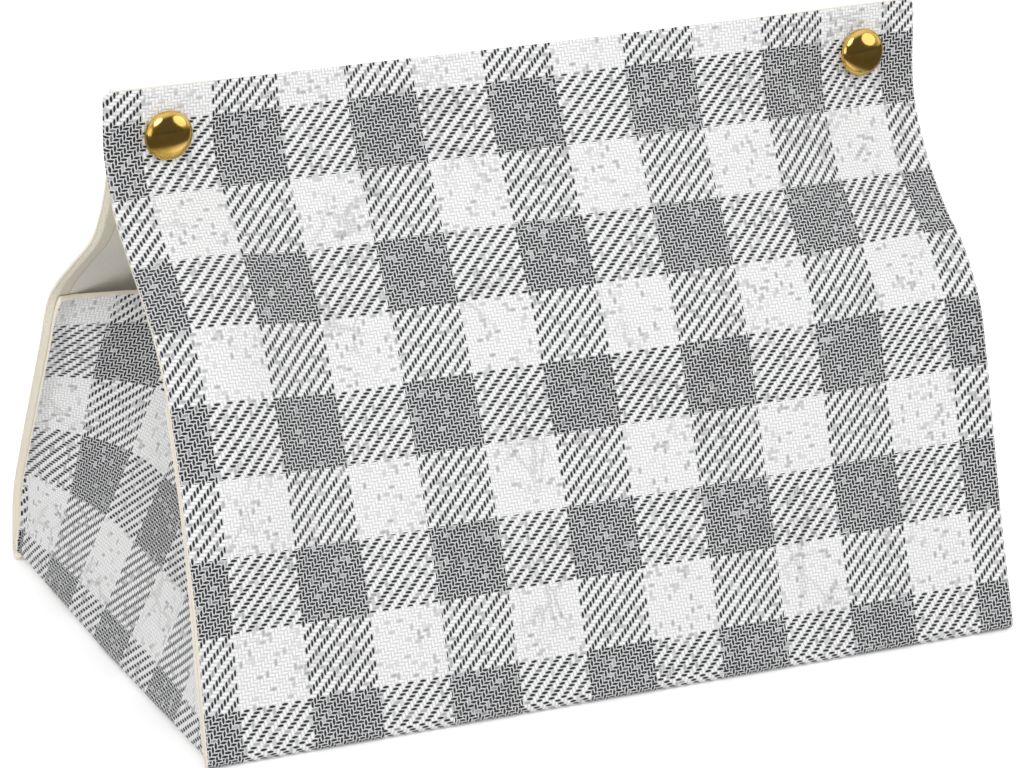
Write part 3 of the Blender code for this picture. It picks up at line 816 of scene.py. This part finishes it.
def panel_rows(side):
    """Distances along a panel at which its rows stand, closer at its rounded corners."""
    length = PANEL_LENGTHS[side]
    straight = length - CORNER_RADIUS
    count = round(straight / ROW_PITCH)
    angles = [pi / 2 * step / CORNER_STEPS for step in range(1, CORNER_STEPS + 1)]
    even = np.linspace(0, straight, count + 1)
    curved = [straight + CORNER_RADIUS * sin(angle) for angle in angles]
    narrowing = [CORNER_RADIUS * (1 - cos(angle)) for angle in angles]
    return np.concatenate((even, curved)), np.concatenate((np.zeros(count + 1), narrowing))


def panel_shares():
    """A panel's columns as shares of half its width, closer together at its ends."""
    last_gap = END_COLUMN_GAPS[-1]
    count = round((WIDTH - 2 * last_gap) / COLUMN_PITCH)
    middle = np.linspace(-HALF_WIDTH + last_gap, HALF_WIDTH - last_gap, count + 1)
    ends = HALF_WIDTH - np.array(END_COLUMN_GAPS[:-1])
    return np.concatenate((-ends, middle, ends[::-1])) / HALF_WIDTH


def curl_back(grid):
    """Curls the front band's left end back round the end of the back band."""
    past = np.clip(1 - (grid[..., 0] + HALF_WIDTH) / CURL_RADIUS, 0, 1)
    turned = CURL_RADIUS * (1 - np.sqrt(1 - past**2))
    height_share = grid[..., 2] / WIDTH
    grid[..., 1] += turned * ease(height_share, CURL_LOW_SHARE, CURL_HIGH_SHARE)


def pull_in(across, along):
    """Draws the back band's left end in, so that it stops short of the curl."""
    height_share = along / WIDTH
    pull = BAND_PULL * ease(height_share, PULL_LOW_SHARE, PULL_HIGH_SHARE)
    return across + np.where(across < 0, -across / HALF_WIDTH, 0) ** 2 * pull


def panel_grid(side):
    """A panel's outer face from the base fold to the top, and its places on the sheet."""
    along, narrowing = panel_rows(side)
    shares = panel_shares() * -side
    across = shares[None, :] * (HALF_WIDTH - narrowing[:, None])
    along = np.broadcast_to(along[:, None], across.shape)
    grid = panel_points(side, across, along)
    if side == FRONT:
        curl_back(grid)
    else:
        grid[..., 0] = pull_in(across, along)
    distance = edge_distance(across, along, PANEL_LENGTHS[side])
    cloth = np.stack((across, along + FLAT_HALF, distance), axis=-1)
    return grid, cloth


def add_panel(side, skin, lining, edge):
    """A front or back panel with its flap, bending softly above the shoulder."""
    face = FACE_NAMES[side]
    grid, cloth = panel_grid(side)
    thickness = thinned(cloth[..., 2:]) if side == BACK else 1
    for layer, depths, materials in sheet_layers(skin, lining, edge):
        piece = layer_piece(f"{face}_panel_{layer}", grid, cloth, depths, materials, thickness)
        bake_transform(piece)
        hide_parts(f"{face}_wall_{layer}", f"{face}_flap_{layer}")


def fold_points(side, across):
    """The base fold's arc at each place across, from the floor up to the panel."""
    foot = panel_points(side, across, np.zeros_like(across))
    ahead = panel_points(side, across, np.full_like(across, ROW_PITCH))
    rise = ahead - foot
    lean = np.arctan2(-side * rise[:, 1], rise[:, 2])
    rows = []
    for step in range(FOLD_STEPS + 1):
        angle = (pi / 2 + lean) * step / FOLD_STEPS
        y = side * (HALF_DEPTH - FOLD_RADIUS + FOLD_RADIUS * np.sin(angle))
        rows.append(np.stack((across, y, FOLD_RADIUS * (1 - np.cos(angle))), axis=-1))
    return rows


def base_grid():
    """The base's underside: full width at its front and back folds, narrower between them."""
    count = round(WIDTH / COLUMN_PITCH)
    across = np.linspace(-HALF_WIDTH, HALF_WIDTH, count + 1)
    narrow = across * (END_REACH - GUSSET_TURN) / HALF_WIDTH
    reach = HALF_DEPTH - FOLD_RADIUS - BASE_STEP
    flat = []
    for y in (reach, -reach):
        flat.append(np.stack((narrow, np.full_like(across, y), 0 * across), axis=-1))
    return np.array(fold_points(BACK, across)[::-1] + flat + fold_points(FRONT, across))


def add_base(skin, lining, edge):
    """The base with its front and back folds, flat between them."""
    grid = base_grid()
    middle = grid[:, grid.shape[1] // 2]
    along = FLAT_HALF - run_lengths(middle)
    along = np.broadcast_to(along[:, None], grid.shape[:2])
    # Far enough from any edge that the lining shows no border here
    distance = np.full_like(along, 2 * BORDER_WIDTH)
    cloth = np.stack((grid[..., 0], along, distance), axis=-1)
    for layer, depths, materials in sheet_layers(skin, lining, edge):
        piece = layer_piece("base_cloth_" + layer, grid, cloth, depths, materials)
        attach(piece, "base")
        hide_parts("base_" + layer)


def gusset_levels(side):
    """The gusset's rows: (height, reach) at its free edge, its glued crease and its middle.

    The front flange is flush with the panel's end, and the back one stands in from it.
    """
    centre = END_REACH - GUSSET_TURN
    lean = atan2(END_REACH - GUSSET_TOP_REACH, GUSSET_TOP)
    low_width = FLANGE_WIDTH * FLANGE_FOOT_SHARE
    rows = []
    for step in range(GUSSET_TURN_STEPS):
        share = step / GUSSET_TURN_STEPS
        edge_turn = pi / 2 * share
        middle_turn = (pi / 2 + lean) * share
        reach = centre + GUSSET_TURN * sin(edge_turn)
        height = GUSSET_TURN * (1 - cos(edge_turn))
        middle_reach = centre + GUSSET_TURN * sin(middle_turn)
        middle_height = GUSSET_TURN * (1 - cos(middle_turn))
        rows.append(((height, reach), (height, reach - low_width), (middle_height, middle_reach)))
    turned = np.array((GUSSET_TURN * (1 + sin(lean)), centre + GUSSET_TURN * cos(lean)))
    top = np.array((GUSSET_TOP + GUSSET_CROWN, GUSSET_TOP_REACH))
    count = round(GUSSET_TOP / GUSSET_ROW_PITCH)
    for share in np.linspace(0, 1, count + 1):
        height = GUSSET_TURN + (GUSSET_TOP - GUSSET_TURN) * share
        reach = END_REACH + (FLANGE_REACH - END_REACH) * ease(share, 0, FLANGE_ENTRY_SHARE)
        width = low_width + (FLANGE_WIDTH - low_width) * (1 - (1 - share) ** 2)
        free = HALF_WIDTH if side == FRONT else reach
        middle = tuple(turned + (top - turned) * share)
        rows.append(((height, free), (height, reach - width), middle))
    return rows


def flange_point(side, across, height):
    """The point at a height of the patterned face of a flange, glued to a panel's lining."""
    drop = (2 * SHEET + SEAT) * sin(WALL_LEAN)
    for _ in range(FLANGE_TRIES):
        run = run_at_height(side, across, height + drop)
        inner, normal = panel_inner(side, np.array([across]), np.array([run]))
        point = (inner - normal * (SHEET + SEAT))[0]
        drop += height - point[2]
    return point


def crease_corner(end, side, reach, height):
    """Where a gusset's crease lies at a height. It slants in from the base's end."""
    share = height / SHOULDER.z
    inward = CREASE_FOOT_RUN + (CREASE_RUN - CREASE_FOOT_RUN) * share
    beside = flange_point(side, end * reach, height)
    return beside - np.array((0, side * inward, 0))


def between(start, end, count, closed=False):
    """Evenly spaced points from start to end, with the end itself only if closed."""
    return [start + (end - start) * t for t in np.linspace(0, 1, count, closed)]


def gusset_path(free, glued, corner, middle):
    """A gusset row: along the flange, in to the crease, round it and on to the middle."""
    inward = np.linalg.norm(glued - corner)
    onward = np.linalg.norm(middle - corner)
    entry = corner + (glued - corner) * CREASE_ROUND_SHARE
    leave = corner + (middle - corner) * min(inward, onward) / onward * CREASE_ROUND_SHARE
    points = between(free, glued, FLANGE_POINTS)
    points += between(glued, entry, INWARD_POINTS)
    for t in np.linspace(0, 1, CREASE_POINTS, False):
        points.append((1 - t) ** 2 * entry + 2 * t * (1 - t) * corner + t**2 * leave)
    points += between(leave, middle, MIDDLE_POINTS, closed=True)
    return points


def gusset_half_grid(end, side):
    """Half of a gusset's patterned face, from its flange's free edge to the middle."""
    rows = []
    for free, glued, middle in gusset_levels(side):
        height, reach = middle
        free_point = flange_point(side, end * free[1], free[0])
        glued_point = flange_point(side, end * glued[1], glued[0])
        corner = crease_corner(end, side, reach, height)
        middle_point = np.array((end * reach, 0, height))
        rows.append(gusset_path(free_point, glued_point, corner, middle_point))
    return np.array(rows)


def gusset_cloth(grid, end, side):
    """Places on the flat sheet: out from the base's end, and across from the middle."""
    steps = np.linalg.norm(np.diff(grid[:, ::-1], axis=1), axis=-1)
    across = np.concatenate((np.zeros((len(grid), 1)), np.cumsum(steps, axis=1)), axis=1)[:, ::-1]
    rise = run_lengths(grid[:, -1])
    outward = np.broadcast_to(rise[:, None] + END_REACH - GUSSET_TURN, across.shape)
    distance = np.broadcast_to(rise[-1] - rise[:, None], across.shape)
    return np.stack((end * outward, side * across, distance), axis=-1)


def add_gusset_half(end, side, skin, lining, edge):
    """Half an end gusset with its flange, from its rounded turn at the base up between the panels.
    """
    grid = gusset_half_grid(end, side)
    cloth = gusset_cloth(grid, end, side)
    if end == side:
        grid, cloth = grid[:, ::-1], cloth[:, ::-1]
    name = f"{END_NAMES[end]}_gusset_{FACE_NAMES[side]}"
    for layer, depths, materials in sheet_layers(skin, lining, edge):
        piece = layer_piece(f"{name}_{layer}", grid, cloth, depths, materials)
        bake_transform(piece)
        flange = f"{END_NAMES[end]}_{FACE_NAMES[side]}_flange"
        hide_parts(f"{END_NAMES[end]}_gusset_{layer}", flange)


def turned_piece(name, profile, material):
    """A turned piece about its own +Z axis, from (radius, height) points."""
    angles = np.linspace(0, 2 * pi, TURNED_STEPS, False)
    east, north = np.cos(angles), np.sin(angles)
    rings = []
    for radius, height in profile:
        ring_height = np.full_like(angles, height)
        rings.append(np.stack((radius * east, radius * north, ring_height), axis=-1))
    points = np.concatenate(rings)
    faces = []
    for ring in range(len(profile) - 1):
        for step in range(TURNED_STEPS):
            following = (step + 1) % TURNED_STEPS
            low, high = ring * TURNED_STEPS, (ring + 1) * TURNED_STEPS
            faces.append((low + step, low + following, high + following, high + step))
    faces.append(tuple(range(TURNED_STEPS - 1, -1, -1)))
    faces.append(tuple(range(len(points) - TURNED_STEPS, len(points))))
    mesh = bpy.data.meshes.new(name)
    mesh.from_pydata(points.tolist(), [], faces)
    mesh.materials.append(material)
    mesh.shade_smooth()
    mesh.set_sharp_from_angle(angle=SHARP_ANGLE)
    return add_object(name, mesh)


def dome_profile(radius, height):
    """A cap's outline: a foot that widens to a rolled rim, then a dome to a small flat."""
    foot = radius * FOOT_SHARE
    rim = height * RIM_HEIGHT_SHARE
    points = [(foot, 0)]
    for step in range(1, RIM_STEPS + 1):
        angle = pi / 2 * step / RIM_STEPS
        points.append((foot + (radius - foot) * sin(angle), rim * (1 - cos(angle))))
    for step in range(1, DOME_STEPS):
        angle = pi / 2 * step / DOME_STEPS
        points.append((radius * cos(angle), rim + (height - rim) * sin(angle)))
    return points


def add_button(side, node, dome, material):
    """A snap's cap or rivet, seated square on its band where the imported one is."""
    low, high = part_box(node)
    middle = (low + high) / 2
    across = np.array([middle.x])
    run = np.array([run_at_height(side, middle.x, middle.z)])
    _, normal = panel_inner(side, across, run)
    seat = Vector(panel_points(side, across, run)[0] + normal[0] * SEAT)
    piece = turned_piece(node + "_dome", dome_profile(*dome), material)
    turn = Vector(normal[0]).to_track_quat("Z", "Y").to_matrix().to_4x4()
    piece.data.transform(Matrix.Translation(seat) @ turn)
    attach(piece, FACE_NAMES[side] + "_flap")
    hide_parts(node)


def dress_snaps(gold, brass):
    """Finely turned caps and rivets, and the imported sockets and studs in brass."""
    for name in END_NAMES.values():
        add_button(FRONT, name + "_cap", CAP_DOME, gold)
        add_button(BACK, name + "_rivet", RIVET_DOME, gold)
        for part in ("socket", "stud"):
            node = frame["nodes"][f"{name}_{part}"]
            node.data.materials.clear()
            node.data.materials.append(brass)


def add_camera():
    """The camera at the fitted viewing angle, looking at the middle of the cover."""
    back = Vector((
        sin(VIEW_AZIMUTH) * cos(VIEW_ELEVATION),
        -cos(VIEW_AZIMUTH) * cos(VIEW_ELEVATION),
        sin(VIEW_ELEVATION),
    ))
    level = Vector((cos(VIEW_AZIMUTH), sin(VIEW_AZIMUTH), 0))
    upright = back.cross(level)
    right = level * cos(VIEW_ROLL) + upright * sin(VIEW_ROLL)
    up = upright * cos(VIEW_ROLL) - level * sin(VIEW_ROLL)
    data = bpy.data.cameras.new("Camera")
    data.sensor_width = SENSOR_WIDTH
    data.lens = LENS
    data.shift_x, data.shift_y = SHIFT_SHARES
    camera = add_object("Camera", data)
    turn = Matrix((right, up, back)).transposed().to_4x4()
    camera.matrix_world = Matrix.Translation(Vector(VIEW_TARGET) + back * VIEW_DISTANCE) @ turn
    bpy.context.scene.camera = camera


def add_lamp(name, place, size, power):
    """A soft disk lamp that points at the cover."""
    data = bpy.data.lights.new(name, "AREA")
    data.shape = "DISK"
    data.size = size
    data.energy = power
    lamp = add_object(name, data)
    lamp.location = place
    lamp.rotation_euler = (Vector(VIEW_TARGET) - Vector(place)).to_track_quat("-Z", "Y").to_euler()


def add_world():
    """White behind the object, soft light round it, and a dark room on the camera's side."""
    world = bpy.data.worlds.new("Studio")
    bpy.context.scene.world = world
    world.use_nodes = True
    tree = world.node_tree
    tree.nodes.clear()
    path = add_node(tree, "LightPath")
    through = path.outputs["Is Transmission Ray"]
    seen = math_node(tree, "MAXIMUM", path.outputs["Is Camera Ray"], through)
    split = add_node(tree, "SeparateXYZ", add_node(tree, "TexCoord").outputs["Generated"])
    toward = map_range(tree, split.outputs[1], *ROOM_NEARNESS, 1.0, 0.0)
    level = map_range(tree, split.outputs[2], *ROOM_HEIGHT, 1.0, 0.0)
    room = math_node(tree, "MULTIPLY", toward, level)
    reflected = mix_colour(tree, room, WHITE, ROOM_DARK)
    lit = add_node(tree, "Background", SOFT_LIGHT, SOFT_LIGHT_STRENGTH).outputs[0]
    mirror = add_node(tree, "Background", reflected, 1.0).outputs[0]
    plain = add_node(tree, "Background", WHITE, 1.0).outputs[0]
    mixed = add_node(tree, "MixShader", path.outputs["Is Glossy Ray"], lit, mirror)
    mixed = add_node(tree, "MixShader", seen, mixed.outputs[0], plain)
    output = tree.nodes.new("ShaderNodeOutputWorld")
    tree.links.new(mixed.outputs[0], output.inputs[0])


def add_floor():
    """A wide pale floor that keeps the object's soft shadow; far off, its colour in metal is a
    painted dark reflection.
    """
    mesh = bpy.data.meshes.new("floor")
    half = FLOOR_SIZE / 2
    corners = [(-half, -half), (half, -half), (half, half), (-half, half)]
    mesh.from_pydata([(x, y, -FLOOR_CLEARANCE) for x, y in corners], [], [(0, 1, 2, 3)])
    material, tree, shader = new_material("Pale floor")
    path = add_node(tree, "LightPath")
    glossy = path.outputs["Is Glossy Ray"]
    place = add_node(tree, "TexCoord").outputs["Object"]
    away = add_node(tree, "VectorMath", place, operation="LENGTH").outputs["Value"]
    near = map_range(tree, away, FLOOR_NEAR, FLOOR_FAR, 1.0, 0.0)
    seen = math_node(tree, "MULTIPLY_ADD", glossy, near, path.outputs["Is Camera Ray"])
    # Painted reflection: far from the cover, glossy rays see the floor painted dark and without
    # glow
    painted_dark_reflection = math_node(tree, "SUBTRACT", glossy, math_node(tree, "MULTIPLY", glossy, near))
    colour = mix_colour(tree, painted_dark_reflection, FLOOR_COLOUR, ROOM_DARK)
    set_inputs(tree, shader, Base_Color=colour, Roughness=FLOOR_ROUGHNESS)
    set_inputs(tree, shader, Specular_IOR_Level=0.0, Emission_Color=WHITE)
    set_inputs(tree, shader, Emission_Strength=math_node(tree, "MULTIPLY", seen, FLOOR_GLOW))
    mesh.materials.append(material)
    add_object("floor", mesh)


def main():
    add_camera()
    add_world()
    add_floor()
    for lamp in LAMPS:
        add_lamp(*lamp)
    bpy.context.scene.view_settings.view_transform = "Standard"

    weave = weave_group()
    grain = grain_group()
    wrinkles = wrinkle_group()
    wear = wear_group()
    skin = gingham_material(weave, wrinkles)
    lining = lining_material(grain, wrinkles)
    edge = edge_material(grain)
    gold = metal_material("Polished gold", wear, GOLD_LIGHT, GOLD_SHADE, GOLD_ROUGHNESS)
    brass = metal_material("Plain brass", wear, BRASS_LIGHT, BRASS_SHADE, BRASS_ROUGHNESS)

    add_base(skin, lining, edge)
    for side in (FRONT, BACK):
        add_panel(side, skin, lining, edge)
        for end in (LEFT, RIGHT):
            add_gusset_half(end, side, skin, lining, edge)
    dress_snaps(gold, brass)


main()
